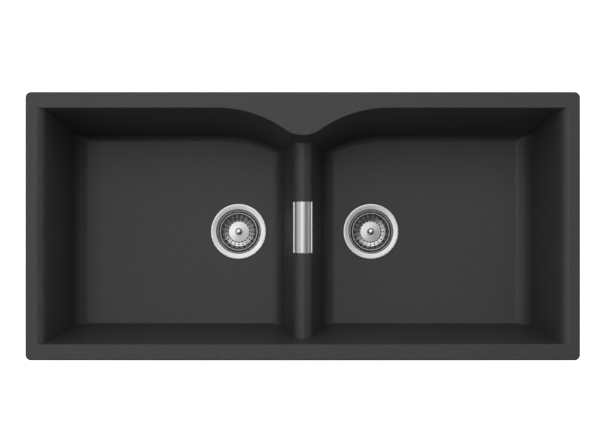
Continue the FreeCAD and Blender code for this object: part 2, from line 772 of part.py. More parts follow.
def overflow_body():
    top = BRIDGE_UNDER - OVERFLOW_GASKET
    under = top - COLLAR_THICKNESS
    low = under - FUNNEL_HEIGHT
    half_x = OPENING_HALF_X + FUNNEL_WALL
    half_y = OPENING_HALF_Y + FUNNEL_WALL
    body = block(-COLLAR_HALF_X, COLLAR_HALF_X, -COLLAR_HALF_Y, COLLAR_HALF_Y, under, top)
    body = body.fuse(hopper(half_x, half_y, half_x - WASTE_Y, under, low))
    body = body.fuse(rod(SPIGOT_RADIUS, 0, WASTE_Y, low - SPIGOT_LENGTH, low + FUNNEL_WALL))
    body = body.cut(block(-OPENING_HALF_X, OPENING_HALF_X, -OPENING_HALF_Y, OPENING_HALF_Y, under, top + PAST))
    body = body.cut(hopper(OPENING_HALF_X, OPENING_HALF_Y, OPENING_HALF_X - WASTE_Y, under, low + FUNNEL_WALL))
    body = body.cut(rod(SPIGOT_BORE, 0, WASTE_Y, low - SPIGOT_LENGTH - PAST, low + FUNNEL_WALL + PAST))
    for side in (-1.0, 1.0):
        y = side * OVERFLOW_SCREW_Y
        pillar = rod(PILLAR_RADIUS, 0, y, under, SILL - PILLAR_SHORT)
        wall_y = side * (OPENING_HALF_Y + FUNNEL_WALL / 2.0)
        web = block(-PILLAR_WEB / 2.0, PILLAR_WEB / 2.0, min(y, wall_y), max(y, wall_y), under, top)
        hole = rod(OVERFLOW_SCREW_RADIUS, 0, y, under + COLLAR_THICKNESS / 2.0, SILL)
        body = body.fuse([pillar, web]).cut(hole)
    return body


def overflow_hose():
    ribbed = HOSE_TOP - HOSE_LOW - 2.0 * HOSE_CUFF
    count = int(ribbed / HOSE_PITCH)
    step = ribbed / count
    line_points = [(0.0, HOSE_TOP)]
    for i in range(count):
        z = HOSE_TOP - HOSE_CUFF - step * i
        for share, raised in HOSE_RIB_SHARES:
            line_points.append((raised * HOSE_RIB_HEIGHT, z - share * step))
    line_points.append((0.0, HOSE_LOW))
    outside = [(SPIGOT_RADIUS + HOSE_WALL + rise, z) for rise, z in line_points]
    inside = [(SPIGOT_RADIUS + rise, z) for rise, z in line_points]
    return revolved(outside + list(reversed(inside)))


def hose_clips():
    outer = SPIGOT_RADIUS + HOSE_WALL
    clips = []
    for z in (HOSE_TOP - HOSE_CUFF / 2.0, HOSE_LOW + HOSE_CUFF / 2.0):
        z0 = z - CLIP_BAND_WIDTH / 2.0
        z1 = z + CLIP_BAND_WIDTH / 2.0
        band = ring(outer + CLIP_BAND, outer, 0, 0, z0, z1)
        housing = block(-WORM_HOUSING_HALF, WORM_HOUSING_HALF, outer + WORM_HOUSING_FROM,
                        outer + WORM_HOUSING_HEIGHT, z0, z1)
        worm = rod_along_x(WORM_RADIUS, -WORM_HEAD_X, WORM_HOUSING_HALF, outer + WORM_AXIS, z)
        clips.append(band.fuse([housing, worm]))
    return Part.makeCompound(clips)


# ---- Strainer wastes ----------------------------------------------------------------------------
def waste_flange(x):
    points = [
        (FLANGE_RADIUS, DISH_EDGE_LEVEL - DISH_SHEET), (FLANGE_RADIUS - FLANGE_EDGE, DISH_EDGE_LEVEL),
        (DISH_LIP_RADIUS, DISH_LIP_LEVEL), (DISH_THROAT_RADIUS, DISH_THROAT_LEVEL),
        (DISH_STEP_RADIUS, DISH_STEP_LEVEL), (DISH_WALL_RADIUS, SEAT_LEVEL),
        (SEAT_INNER, SEAT_LEVEL), (SEAT_INNER, CUP_LEVEL), (0.0, CUP_LEVEL),
    ]
    face = sheet_face(list(reversed(points)), DISH_BENDS, DISH_SHEET)
    dish = spun(face)
    low = CUP_LEVEL - DISH_SHEET - PAST
    high = CUP_LEVEL + PAST
    opening = ring(SEAT_INNER - CUP_BORDER, HUB_RADIUS, 0, 0, low, high)
    reach = SEAT_INNER + PAST
    opening = opening.cut([
        block(-reach, reach, -HUB_ARM / 2.0, HUB_ARM / 2.0, low, high),
        block(-HUB_ARM / 2.0, HUB_ARM / 2.0, -reach, reach, low, high),
    ])
    dish = dish.cut([opening, rod(BOLT_RADIUS + BOLT_PLAY, 0, 0, low, high)])
    dish.translate(V(x, 0, FLOOR))
    return dish


def flange_seal(x):
    # its top follows the flange's underside
    slope = (DISH_EDGE_LEVEL - DISH_LIP_LEVEL) / (FLANGE_RADIUS - FLANGE_EDGE - DISH_LIP_RADIUS)
    under = DISH_LIP_LEVEL - DISH_SHEET * math.hypot(1.0, slope)
    seal = revolved([
        (FLANGE_SEAL_INNER, -RECESS_DEPTH), (FLANGE_SEAL_OUTER, -RECESS_DEPTH),
        (FLANGE_SEAL_OUTER, under + slope * (FLANGE_SEAL_OUTER - DISH_LIP_RADIUS)),
        (FLANGE_SEAL_INNER, under + slope * (FLANGE_SEAL_INNER - DISH_LIP_RADIUS)),
    ])
    seal.translate(V(x, 0, FLOOR))
    return seal


def waste_body(x):
    top = -WALL - UNDER_GASKET
    under = top - BODY_FLANGE
    outer_cup = BODY_BORE + BODY_WALL
    points = [
        (BODY_BORE, top), (BODY_FLANGE_RADIUS, top), (BODY_FLANGE_RADIUS, under),
        (outer_cup, under), (outer_cup, BODY_CUP_LEVEL - 1.0), (OUTLET_RADIUS, BODY_TAPER_LEVEL - 1.0),
        (OUTLET_RADIUS, OUTLET_LEVEL), (OUTLET_BORE, OUTLET_LEVEL), (OUTLET_BORE, BODY_TAPER_LEVEL + 1.0),
        (BODY_BORE, BODY_CUP_LEVEL + 1.0),
    ]
    body = revolved(points)
    hub_low = BODY_TAPER_LEVEL - BODY_HUB_DEPTH
    hub = rod(BODY_HUB_RADIUS, 0, 0, hub_low, BODY_HUB_TOP)
    half = BODY_ARM / 2.0
    reach = OUTLET_BORE + half
    arms = block(-reach, reach, -half, half, hub_low, BODY_TAPER_LEVEL)
    arms = arms.fuse(block(-half, half, -reach, reach, hub_low, BODY_TAPER_LEVEL))
    body = body.fuse([hub, arms])
    body = body.cut(rod(BOLT_RADIUS, 0, 0, CUP_LEVEL - BOLT_LENGTH - PAST, BODY_HUB_TOP + PAST))
    body.translate(V(x, 0, FLOOR))
    return body


def fixing_bolt(x):
    head = rod(BOLT_HEAD_RADIUS, 0, 0, CUP_LEVEL, CUP_LEVEL + BOLT_HEAD)
    shank = rod(BOLT_RADIUS, 0, 0, CUP_LEVEL - BOLT_LENGTH, CUP_LEVEL)
    top = CUP_LEVEL + BOLT_HEAD
    socket = rod(STEM_TIP_RADIUS + FIT, 0, 0, top - BOLT_SOCKET_DEPTH, top + PAST)
    reach = BOLT_HEAD_RADIUS + PAST
    slot = block(-reach, reach, -BOLT_SLOT / 2.0, BOLT_SLOT / 2.0, top - BOLT_SLOT, top + PAST)
    bolt = head.fuse(shank).cut([socket, slot])
    bolt.translate(V(x, 0, FLOOR))
    return bolt


def basket(x):
    rim_in = BASKET_RIM_RADIUS - BASKET_SHEET / 2.0
    points = [
        (STEM_RADIUS + FIT, DOME_LEVEL), (DOME_FLAT_RADIUS, DOME_LEVEL), (DOME_RADIUS, DOME_EDGE_LEVEL),
        (BASKET_GROOVE_RADIUS, BASKET_GROOVE_LEVEL), (BASKET_KNEE_RADIUS, BASKET_KNEE_LEVEL),
        (rim_in, BASKET_RIM_LEVEL),
    ]
    bowl = spun(sheet_face(points, BASKET_BENDS, BASKET_SHEET))
    roll = Part.makeTorus(BASKET_RIM_RADIUS, BASKET_RIM_ROLL, V(0, 0, BASKET_RIM_LEVEL))
    bowl = bowl.fuse(roll)
    holes = []
    wall_dr = BASKET_RIM_RADIUS - BASKET_KNEE_RADIUS
    wall_dz = BASKET_RIM_LEVEL - BASKET_KNEE_LEVEL
    share = (WALL_HOLE_RADIUS - BASKET_KNEE_RADIUS) / wall_dr
    wall_z = BASKET_KNEE_LEVEL + share * wall_dz
    low = BASKET_GROOVE_LEVEL - BASKET_SHEET - PAST
    for i in range(HOLES_PER_ROW):
        angle = math.radians(360.0 / HOLES_PER_ROW * i)
        out = V(math.cos(angle), math.sin(angle), 0)
        for radius in HOLE_ROWS:
            place = out * radius
            holes.append(rod(HOLE_RADIUS, place.x, place.y, low, BASKET_KNEE_LEVEL))
        through = out * wall_dz + V(0, 0, -wall_dr)
        through.normalize()
        place = out * WALL_HOLE_RADIUS + V(0, 0, wall_z) - through * (BASKET_SHEET + PAST)
        holes.append(Part.makeCylinder(HOLE_RADIUS, 2.0 * (BASKET_SHEET + PAST), place, through))
    bowl = bowl.cut(holes)
    bowl.translate(V(x, 0, FLOOR))
    return bowl


def basket_knob(x):
    crown = Part.makeSphere(KNOB_CROWN, V(0, 0, KNOB_TOP - KNOB_CROWN))
    head = crown.common(rod(KNOB_RADIUS, 0, 0, KNOB_BOTTOM, KNOB_TOP))
    head = head.makeFillet(KNOB_EDGE, [edge for edge in head.Edges if len(edge.Vertexes) == 1])
    neck = rod(KNOB_NECK_RADIUS, 0, 0, DOME_LEVEL, KNOB_BOTTOM)
    knob = head.fuse(neck).cut(rod(STEM_RADIUS + FIT, 0, 0, DOME_LEVEL - PAST, STEM_TOP + KNOB_HOLLOW))
    knob.translate(V(x, 0, FLOOR))
    return knob


def basket_stem(x):
    shaft = rod(STEM_RADIUS, 0, 0, STEM_STEP, STEM_TOP)
    tip = rod(STEM_TIP_RADIUS, 0, 0, STEM_TIP, STEM_STEP)
    stem = shaft.fuse(tip)
    stem.translate(V(x, 0, FLOOR))
    return stem


def basket_spacer(x):
    z1 = FLOOR + DOME_LEVEL - BASKET_SHEET
    return ring(SPACER_RADIUS, STEM_RADIUS, x, 0, FLOOR + SEAL_TOP, z1)


def basket_seal(x):
    return ring(SEAL_RADIUS, STEM_RADIUS, x, 0, FLOOR + SEAT_LEVEL, FLOOR + SEAL_TOP)


def basket_nut(x):
    z1 = FLOOR + SEAT_LEVEL
    corners = [V(x + NUT_RADIUS * math.cos(math.radians(60.0 * i)),
                 NUT_RADIUS * math.sin(math.radians(60.0 * i)), z1) for i in range(7)]
    nut = Part.Face(Part.makePolygon(corners)).extrude(V(0, 0, -NUT_HEIGHT))
    return nut.cut(rod(STEM_RADIUS, x, 0, z1 - NUT_HEIGHT - PAST, z1 + PAST))


# ---- Pipework -----------------------------------------------------------------------------------
def fluted(shape, radius, x, y, z0, z1):
    flutes = []
    for i in range(NUT_FLUTES):
        angle = math.radians(360.0 / NUT_FLUTES * i)
        reach = radius + FLUTE_RADIUS - FLUTE_BITE
        flutes.append(rod(FLUTE_RADIUS, x + reach * math.cos(angle), y + reach * math.sin(angle), z0, z1))
    return shape.cut(flutes)


def plastic_nut(bore, length):
    # drawn on the Z axis, open end up, lip at the bottom, lip's inner face at 0
    outer = bore + NUT_WALL
    nut = rod(outer, 0, 0, -NUT_LIP, length - NUT_LIP)
    nut = fluted(nut, outer, 0, 0, FLUTE_FROM - NUT_LIP, length)
    nut = nut.cut(rod(bore, 0, 0, 0.0, length))
    return nut.cut(rod(PIPE_RADIUS + NUT_CLEARANCE, 0, 0, -NUT_LIP - PAST, PAST))


def outlet_nut(x):
    nut = plastic_nut(OUTLET_RADIUS, OUTLET_NUT_LENGTH)
    nut.translate(V(x, 0, PIPE_TOP - PIPE_COLLAR))
    return nut


def outlet_washer(x):
    return ring(PIPE_COLLAR_RADIUS, OUTLET_BORE, x, 0, PIPE_TOP, OUTLET_Z)


def pipe_path(side):
    x = waste_x(side)
    turn_z = PIPE_TOP - PIPE_DROP
    bend_centre = V(x - side * BEND_RADIUS, 0, turn_z)
    middle = bend_centre + V(side, 0, -1) * (BEND_RADIUS / math.sqrt(2.0))
    bend_end = V(bend_centre.x, 0, RUN_Z)
    edges = [
        line(V(x, 0, PIPE_TOP), V(x, 0, turn_z)),
        Part.Arc(V(x, 0, turn_z), middle, bend_end).toShape(),
        line(bend_end, V(side * PIPE_END, 0, RUN_Z)),
    ]
    return Part.Wire(edges)


def tube_along(path, start, radius):
    circle = Part.makeCircle(radius, start, V(0, 0, -1))
    return path.makePipeShell([Part.Wire([circle])], True, False)


def drain_pipe(side):
    x = waste_x(side)
    start = V(x, 0, PIPE_TOP)
    pipe = tube_along(pipe_path(side), start, PIPE_RADIUS)
    collar = rod(PIPE_COLLAR_RADIUS, x, 0, PIPE_TOP - PIPE_COLLAR, PIPE_TOP)
    bore = tube_along(pipe_path(side), start, PIPE_BORE)
    return pipe.fuse(collar).cut(bore)


def on_run(shape, side):
    # from the Z axis (up) to the run's axis, facing the tee's middle
    shape.rotate(V(0, 0, 0), V(0, 1, 0), -side * 90.0)
    shape.translate(V(side * (TEE_HALF + TEE_SEAL), 0, RUN_Z))
    return shape


def tee_nut(side):
    return on_run(plastic_nut(TEE_RADIUS, TEE_NUT_LENGTH), side)


def tee_seal(side):
    return on_run(ring(TEE_RADIUS - TEE_SEAL_PLAY, PIPE_RADIUS, 0, 0, 0.0, TEE_SEAL), side)


def drain_tee():
    run = rod_along_x(TEE_RADIUS, -TEE_HALF, TEE_HALF, 0, RUN_Z)
    tail = rod(PIPE_RADIUS, 0, 0, RUN_Z - TAIL_LENGTH, RUN_Z)
    collar = rod(TAIL_COLLAR_RADIUS, 0, 0, RUN_Z - TAIL_LENGTH + TAIL_FREE, RUN_Z)
    spigot = rod(SPIGOT_RADIUS, 0, 0, RUN_Z, RUN_Z + TEE_RADIUS + TEE_SPIGOT_LENGTH)
    tee = run.fuse([tail, collar, spigot])
    socket = PIPE_RADIUS + TEE_SOCKET_CLEARANCE
    return tee.cut([
        rod_along_x(PIPE_BORE, -TEE_HALF - PAST, TEE_HALF + PAST, 0, RUN_Z),
        rod_along_x(socket, -TEE_HALF - PAST, -TEE_SOCKET_FROM, 0, RUN_Z),
        rod_along_x(socket, TEE_SOCKET_FROM, TEE_HALF + PAST, 0, RUN_Z),
        rod(PIPE_BORE, 0, 0, RUN_Z - TAIL_LENGTH - PAST, RUN_Z),
        rod(SPIGOT_BORE, 0, 0, RUN_Z, RUN_Z + TEE_RADIUS + TEE_SPIGOT_LENGTH + PAST),
    ])


# ---- All pieces ---------------------------------------------------------------------------------
save("sink_basin", sink_basin())
save("rim_seal_tape", tape_ring())
save("clip_sockets", Part.makeCompound([clip_socket(x, y) for x, y, _ in boss_places()]))
save("clip_arms", Part.makeCompound([clip_arm(x, y, out) for x, y, out in boss_places()]))
save("clip_screws", Part.makeCompound([clip_screw(x, y) for x, y, _ in boss_places()]))
save("overflow_cover", overflow_cover())
save("overflow_saddle", overflow_saddle())
save("overflow_screws", overflow_screws())
save("overflow_gasket", overflow_gasket())
save("overflow_body", overflow_body())
save_low("overflow_hose", overflow_hose())
save_low("hose_clips", hose_clips())
save_low("drain_tee", drain_tee())
for name, side in SIDES:
    x = waste_x(side)
    gasket_z = UNDERSIDE - UNDER_GASKET
    save_low(name + "_flange", waste_flange(x))
    save_low(name + "_flange_seal", flange_seal(x))
    save_low(name + "_underside_gasket", ring(UNDER_GASKET_OUTER, UNDER_GASKET_INNER, x, 0, gasket_z, UNDERSIDE))
    save_low(name + "_waste_body", waste_body(x))
    save_low(name + "_fixing_bolt", fixing_bolt(x))
    save_low(name + "_basket", basket(x))
    save_low(name + "_basket_knob", basket_knob(x))
    save_low(name + "_basket_stem", basket_stem(x))
    save_low(name + "_basket_spacer", basket_spacer(x))
    save_low(name + "_basket_seal", basket_seal(x))
    save_low(name + "_basket_nut", basket_nut(x))
    save_low(name + "_outlet_washer", outlet_washer(x))
    save_low(name + "_outlet_nut", outlet_nut(x))
    save_low(name + "_drain_pipe", drain_pipe(side))
    save_low(name + "_tee_seal", tee_seal(side))
    save_low(name + "_tee_nut", tee_nut(side))
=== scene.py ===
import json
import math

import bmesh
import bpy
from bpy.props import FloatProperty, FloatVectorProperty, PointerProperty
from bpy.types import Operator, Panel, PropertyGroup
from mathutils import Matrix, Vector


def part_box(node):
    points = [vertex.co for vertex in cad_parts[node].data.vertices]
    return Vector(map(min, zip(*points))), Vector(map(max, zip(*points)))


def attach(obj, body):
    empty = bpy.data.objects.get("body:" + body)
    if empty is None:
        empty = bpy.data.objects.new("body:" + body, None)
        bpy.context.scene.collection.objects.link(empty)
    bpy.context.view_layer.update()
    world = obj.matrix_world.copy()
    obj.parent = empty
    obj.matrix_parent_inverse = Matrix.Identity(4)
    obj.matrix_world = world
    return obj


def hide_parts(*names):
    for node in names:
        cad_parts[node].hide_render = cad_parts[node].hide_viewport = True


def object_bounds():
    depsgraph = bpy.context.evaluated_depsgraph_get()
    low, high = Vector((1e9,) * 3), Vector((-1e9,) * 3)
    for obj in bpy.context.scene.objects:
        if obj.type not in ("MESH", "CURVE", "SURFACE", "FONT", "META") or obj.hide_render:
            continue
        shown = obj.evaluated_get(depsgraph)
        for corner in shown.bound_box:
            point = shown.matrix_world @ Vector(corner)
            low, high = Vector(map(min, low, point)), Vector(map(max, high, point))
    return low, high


bl_info = {
    "name": "Double Bowl Kitchen Sink",
    "version": (1, 0, 0),
    "blender": (4, 5, 0),
    "location": "3D View > Sidebar > Sink",
    "description": "Finishes and fine shapes of a moulded double bowl sink with its wastes and pipework",
    "category": "Object",
}

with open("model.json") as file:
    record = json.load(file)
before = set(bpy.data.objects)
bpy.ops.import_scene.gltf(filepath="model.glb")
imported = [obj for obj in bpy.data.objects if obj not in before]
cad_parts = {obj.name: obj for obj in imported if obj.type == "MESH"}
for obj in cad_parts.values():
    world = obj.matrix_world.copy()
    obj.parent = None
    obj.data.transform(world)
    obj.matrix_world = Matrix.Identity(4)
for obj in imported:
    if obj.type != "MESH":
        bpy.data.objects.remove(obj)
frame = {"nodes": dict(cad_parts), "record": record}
CAD_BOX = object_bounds()

BODY_OF = {node: body for body, nodes in frame["record"]["behaviour"]["bodies"].items() for node in nodes}
SLOT_OF = {part["node"]: part["material_slot"] for part in frame["record"]["subparts"]}
SIDES = ("left", "right")

RIM_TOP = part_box("sink_basin")[1].z
DISH_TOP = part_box("left_flange")[1].z

# Light from the room, by band of degrees from straight above, and its strength from each side of the sink.
ROOM_SIDES = {
    "back": (0.0, 1.0, 0.0),
    "front": (0.0, -1.0, 0.0),
    "left": (-1.0, 0.0, 0.0),
    "right": (1.0, 0.0, 0.0),
}
ROOM_BANDS = (
    (0.0, 10.0, {"back": 1.33, "front": 1.33, "left": 1.33, "right": 1.33}),
    (10.0, 22.0, {"back": 1.66, "front": 0.13, "left": 2.50, "right": 0.43}),
    (22.0, 38.0, {"back": 1.80, "front": 0.02, "left": 0.05, "right": 0.10}),
    (38.0, 58.0, {"back": 0.55, "front": 0.05, "left": 0.95, "right": 0.02}),
    (58.0, 90.0, {"back": 0.59, "front": 0.20, "left": 0.33, "right": 0.67}),
)

# Half of the degrees over which a band gives way to the next, and the whole reach of the bands.
ROOM_BLEND = 1.5
HALF_TURN = 180.0

# Camera and floor, in metres; the sensor is in millimetres and the shift in sensor widths.
SENSOR_WIDTH = 36.0
FRAME_SHIFT = (-0.0046, 0.0742)
CAMERA_REACH = 50.0
FLOOR_GAP = 0.001
FLOOR_SIZE = 8.0
FLOOR_CLOUDS = 3.0
FLOOR_DRIFT = 0.2
FLOOR_SHADE = 0.97
FLOOR_ROUGHNESS = 0.8

# Widths of the softened edges of pressed, turned, strap and rubber parts, in metres.
PRESSED_EDGE = 0.0002
TURNED_EDGE = 0.0003
STRAP_EDGE = 0.0004
RUBBER_EDGE = 0.0005
EDGE_SEGMENTS = 2
SHARP_ANGLE = math.radians(35.0)
FLAT_ANGLE = math.radians(0.4)
MERGE_DISTANCE = 1e-6
CUT_DISTANCE = 1e-7

# The dish is pressed inwards outside this radius, by level below its top: a rounded shoulder in its throat.
THROAT_INSIDE = 0.0385
THROAT_PRESSING = (
    (-0.0022, 0.0), (-0.0031, 0.0005), (-0.0041, 0.00125), (-0.0051, 0.0020), (-0.0061, 0.0026),
    (-0.0071, 0.00285), (-0.0086, 0.0029), (-0.0116, 0.0024), (-0.0136, 0.0020), (-0.0158, 0.0),
)

# Noise: detail of coarse clouds, of plain noise and of fine grains, and weight of the finer layers.
COARSE_DETAIL = 4.0
PLAIN_DETAIL = 3.0
FINE_DETAIL = 2.0
LAYER_WEIGHT = 0.55

# Composite: pick of the light grains, clouds to a metre, and how much each varies colour and roughness.
GRAINS_FROM = 0.58
GRAINS_FULL = 0.86
GRAIN_STRENGTH = 0.55
COMPOSITE_CLOUDS = 9.0
COMPOSITE_DRIFT = 0.35
FINE_GRAINS = 2.2
FINE_ROUGHNESS = 0.05
CLOUD_ROUGHNESS = 0.04
GRAIN_RELIEF = 0.16
GRAIN_HEIGHT = 0.00012
COMPOSITE_SPECULAR = 0.42

# Steel: tint, and least roughness, most roughness and relief of the brushing.
KNOB_TINT = (0.80, 0.80, 0.805)
BASKET_TINT = (0.52, 0.52, 0.524)
COVER_TINT = (0.74, 0.74, 0.745)
ZINC_TINT = (0.55, 0.56, 0.57)
KNOB_POLISH = (0.2, 0.26, 0.02)
BASKET_BRUSHING = (0.22, 0.3, 0.1)
FLANGE_BRUSHING = (0.28, 0.36, 0.25)
COVER_BRUSHING = (0.34, 0.44, 0.2)
ZINC_COAT = (0.3, 0.45, 0.2)
LINE_FINENESS = 0.7
LINE_SHADE = 0.72
LINE_SHARE = 0.3
LINE_HEIGHT = 0.00006
STEEL_CLOUDS = 60.0
STEEL_DRIFT = 0.03
LINES_ROUND = 55.0
LINES_ALONG = 22.0
COAT_GRAINS = 900.0

# Dish by height: its depth, the painted shade of the cup and the painted light of the throat, and shares of
# the depth where they change.
DISH_DEPTH = 0.030
CUP_PAINTED_SHADE = 0.2
THROAT_PAINTED_LIGHT = 0.95
CUP_END = 0.42
THROAT_START = 0.48
THROAT_END = 0.87
FLANGE_START = 0.93

# Moulded finishes by slot: colour, roughness, grains to a metre and relief.
MOULDED = {
    "seal_rubber": ((0.022, 0.022, 0.023), 0.62, 1800.0, 0.12),
    "foam_tape": ((0.2, 0.2, 0.2), 0.9, 2600.0, 0.6),
    "black_plastic": ((0.03, 0.03, 0.032), 0.42, 1500.0, 0.1),
    "white_plastic": ((0.76, 0.76, 0.74), 0.38, 1300.0, 0.06),
}
MOULDED_CLOUDS = 35.0
MOULDED_DRIFT = 0.5
MOULDED_SHADE = 0.8
MOULDED_SPREAD = 0.08
MOULDED_HEIGHT = 0.0002


def middle(node):
    """Middle of a node's box"""
    low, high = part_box(node)
    return (low + high) / 2


def waste_axis(side):
    """Point on the upright axis of a waste"""
    place = middle(side + "_flange")
    return Vector((place.x, place.y, 0.0))


# ---------------------------------------------------------------- sizes and colours

class SinkFinishes(PropertyGroup):
    """Colours and grain of the sink's finishes"""

    composite: FloatVectorProperty(
        name="Composite", description="Body colour of the moulded sink",
        subtype="COLOR", size=3, min=0.0, max=1.0, default=(0.0470, 0.0470, 0.0479))
    grain_colour: FloatVectorProperty(
        name="Grain", description="Colour of the lighter quartz grains",
        subtype="COLOR", size=3, min=0.0, max=1.0, default=(0.1050, 0.1050, 0.1080))
    grain_size: FloatProperty(
        name="Grain size", description="Width of one quartz grain",
        subtype="DISTANCE", unit="LENGTH", min=0.0002, max=0.01, default=0.0012)
    composite_roughness: FloatProperty(
        name="Composite roughness", description="Sheen of the moulded surface, 0 is a mirror",
        subtype="FACTOR", min=0.05, max=1.0, default=0.44)
    steel: FloatVectorProperty(
        name="Steel", description="Colour of the brushed steel",
        subtype="COLOR", size=3, min=0.0, max=1.0, default=(0.60, 0.60, 0.605))
    brushing: FloatProperty(
        name="Brushing", description="Width of one brush line",
        subtype="DISTANCE", unit="LENGTH", min=0.00005, max=0.002, default=0.0004)


class SinkShapes(PropertyGroup):
    """Sizes of the fine shapes added to the solids"""

    edge_bevel: FloatProperty(
        name="Edge bevel", description="Rounding of the moulded plastic edges",
        subtype="DISTANCE", unit="LENGTH", min=0.0001, max=0.002, default=0.0006)


class SinkStudio(PropertyGroup):
    """Camera, floor and light"""

    camera_height: FloatProperty(
        name="Camera height", description="Height of the camera above the rim",
        subtype="DISTANCE", unit="LENGTH", min=0.5, max=10.0, default=2.0)
    camera_front: FloatProperty(
        name="Camera to the front", description="How far the camera stands in front of the sink's middle",
        subtype="DISTANCE", unit="LENGTH", min=-1.0, max=1.0, default=0.0754)
    lens: FloatProperty(
        name="Lens", description="Focal length on a sensor 36 mm wide, in millimetres",
        min=20.0, max=200.0, default=66.64)
    floor_colour: FloatVectorProperty(
        name="Floor", description="Colour of the pale floor",
        subtype="COLOR", size=3, min=0.0, max=1.0, default=(0.92, 0.92, 0.92))
    room_light: FloatProperty(
        name="Room light", description="Strength of the light from the room's ceiling and walls",
        min=0.0, max=5.0, default=1.0)


# ---------------------------------------------------------------- material nodes

class Finish:
    """A material's node tree with short calls for the nodes that the finishes share"""

    def __init__(self, name):
        self.material = bpy.data.materials.new(name)
        self.material.use_nodes = True
        self.tree = self.material.node_tree
        self.shader = self.tree.nodes["Principled BSDF"]
        self.place = self.tree.nodes.new("ShaderNodeTexCoord").outputs["Object"]

    def node(self, kind, **values):
        made = self.tree.nodes.new(kind)
        for key, value in values.items():
            setattr(made, key, value)
        return made

    def link(self, source, target):
        self.tree.links.new(source, target)

    def constant(self, **values):
        for key, value in values.items():
            self.shader.inputs[key.replace("_", " ")].default_value = value

    def mapped(self, location=(0, 0, 0), scale=(1, 1, 1)):
        mapping = self.node("ShaderNodeMapping")
        mapping.inputs["Location"].default_value = location
        mapping.inputs["Scale"].default_value = scale
        self.link(self.place, mapping.inputs["Vector"])
        return mapping.outputs["Vector"]

    def noise(self, vector, scale, detail=PLAIN_DETAIL, roughness=LAYER_WEIGHT):
        texture = self.node("ShaderNodeTexNoise")
        texture.inputs["Scale"].default_value = scale
        texture.inputs["Detail"].default_value = detail
        texture.inputs["Roughness"].default_value = roughness
        self.link(vector, texture.inputs["Vector"])
        return texture.outputs["Fac"]

    def ramp(self, factor, stops):
        ramp = self.node("ShaderNodeValToRGB")
        elements = ramp.color_ramp.elements
        while len(elements) < len(stops):
            elements.new(0.5)
        for element, (position, colour) in zip(elements, stops):
            element.position = position
            element.color = (*colour, 1.0) if hasattr(colour, "__len__") else (colour, colour, colour, 1.0)
        self.link(factor, ramp.inputs["Fac"])
        return ramp.outputs["Color"]

    def math(self, operation, a, b=0.0):
        made = self.node("ShaderNodeMath", operation=operation)
        for socket, value in zip(made.inputs, (a, b)):
            if isinstance(value, (int, float)):
                socket.default_value = value
            else:
                self.link(value, socket)
        return made.outputs[0]

    def between(self, factor, low, high):
        mapped = self.node("ShaderNodeMapRange")
        mapped.inputs["To Min"].default_value = low
        mapped.inputs["To Max"].default_value = high
        self.link(factor, mapped.inputs["Value"])
        return mapped.outputs["Result"]

    def mix(self, factor, a, b, blend="MIX"):
        mixed = self.node("ShaderNodeMix", data_type="RGBA", blend_type=blend)
        for socket, value in zip((mixed.inputs[0], mixed.inputs[6], mixed.inputs[7]), (factor, a, b)):
            if isinstance(value, (int, float)):
                socket.default_value = value
            elif isinstance(value, bpy.types.NodeSocket):
                self.link(value, socket)
            else:
                socket.default_value = (*value, 1.0)
        return mixed.outputs[2]

    def bump(self, height, strength, distance):
        bump = self.node("ShaderNodeBump")
        bump.inputs["Strength"].default_value = strength
        bump.inputs["Distance"].default_value = distance
        self.link(height, bump.inputs["Height"])
        self.link(bump.outputs["Normal"], self.shader.inputs["Normal"])


def composite_finish():
    """Dark moulded stone with lighter quartz grains"""
    look = bpy.context.scene.sink_finishes
    finish = Finish("composite")
    per_metre = 1.0 / look.grain_size
    grains = finish.node("ShaderNodeTexVoronoi")
    grains.inputs["Scale"].default_value = per_metre
    finish.link(finish.place, grains.inputs["Vector"])
    pick = finish.ramp(grains.outputs["Color"], ((GRAINS_FROM, 0.0), (GRAINS_FULL, 1.0)))
    cloud = finish.noise(finish.place, COMPOSITE_CLOUDS, detail=COARSE_DETAIL)
    fine = finish.noise(finish.place, per_metre * FINE_GRAINS, detail=FINE_DETAIL)
    body = finish.mix(finish.between(cloud, 0.0, COMPOSITE_DRIFT), look.composite, look.grain_colour)
    speckled = finish.mix(finish.math("MULTIPLY", pick, GRAIN_STRENGTH), body, look.grain_colour)
    finish.link(speckled, finish.shader.inputs["Base Color"])
    rough = finish.math("ADD", finish.between(fine, -FINE_ROUGHNESS, FINE_ROUGHNESS),
                        finish.between(cloud, -CLOUD_ROUGHNESS, CLOUD_ROUGHNESS))
    finish.link(finish.math("ADD", rough, look.composite_roughness), finish.shader.inputs["Roughness"])
    finish.bump(finish.math("ADD", fine, grains.outputs["Distance"]), GRAIN_RELIEF, GRAIN_HEIGHT)
    finish.constant(Specular_IOR_Level=COMPOSITE_SPECULAR)
    return finish.material


def dish_painted_light_and_shade(finish, tint):
    """Colour of the steel dish by height: painted light on the throat, and painted shade in the cup below
    the basket
    """
    parts = finish.node("ShaderNodeSeparateXYZ")
    finish.link(finish.place, parts.inputs[0])
    above_cup = finish.math("SUBTRACT", parts.outputs["Z"], DISH_TOP - DISH_DEPTH)
    height = finish.math("DIVIDE", above_cup, DISH_DEPTH)
    # painted shade darkens the cup below the basket, painted light brightens the throat above it
    painted_shade = tuple(CUP_PAINTED_SHADE * c for c in tint)
    return finish.ramp(height, ((CUP_END, painted_shade), (THROAT_START, THROAT_PAINTED_LIGHT),
                                (THROAT_END, THROAT_PAINTED_LIGHT), (FLANGE_START, tint)))


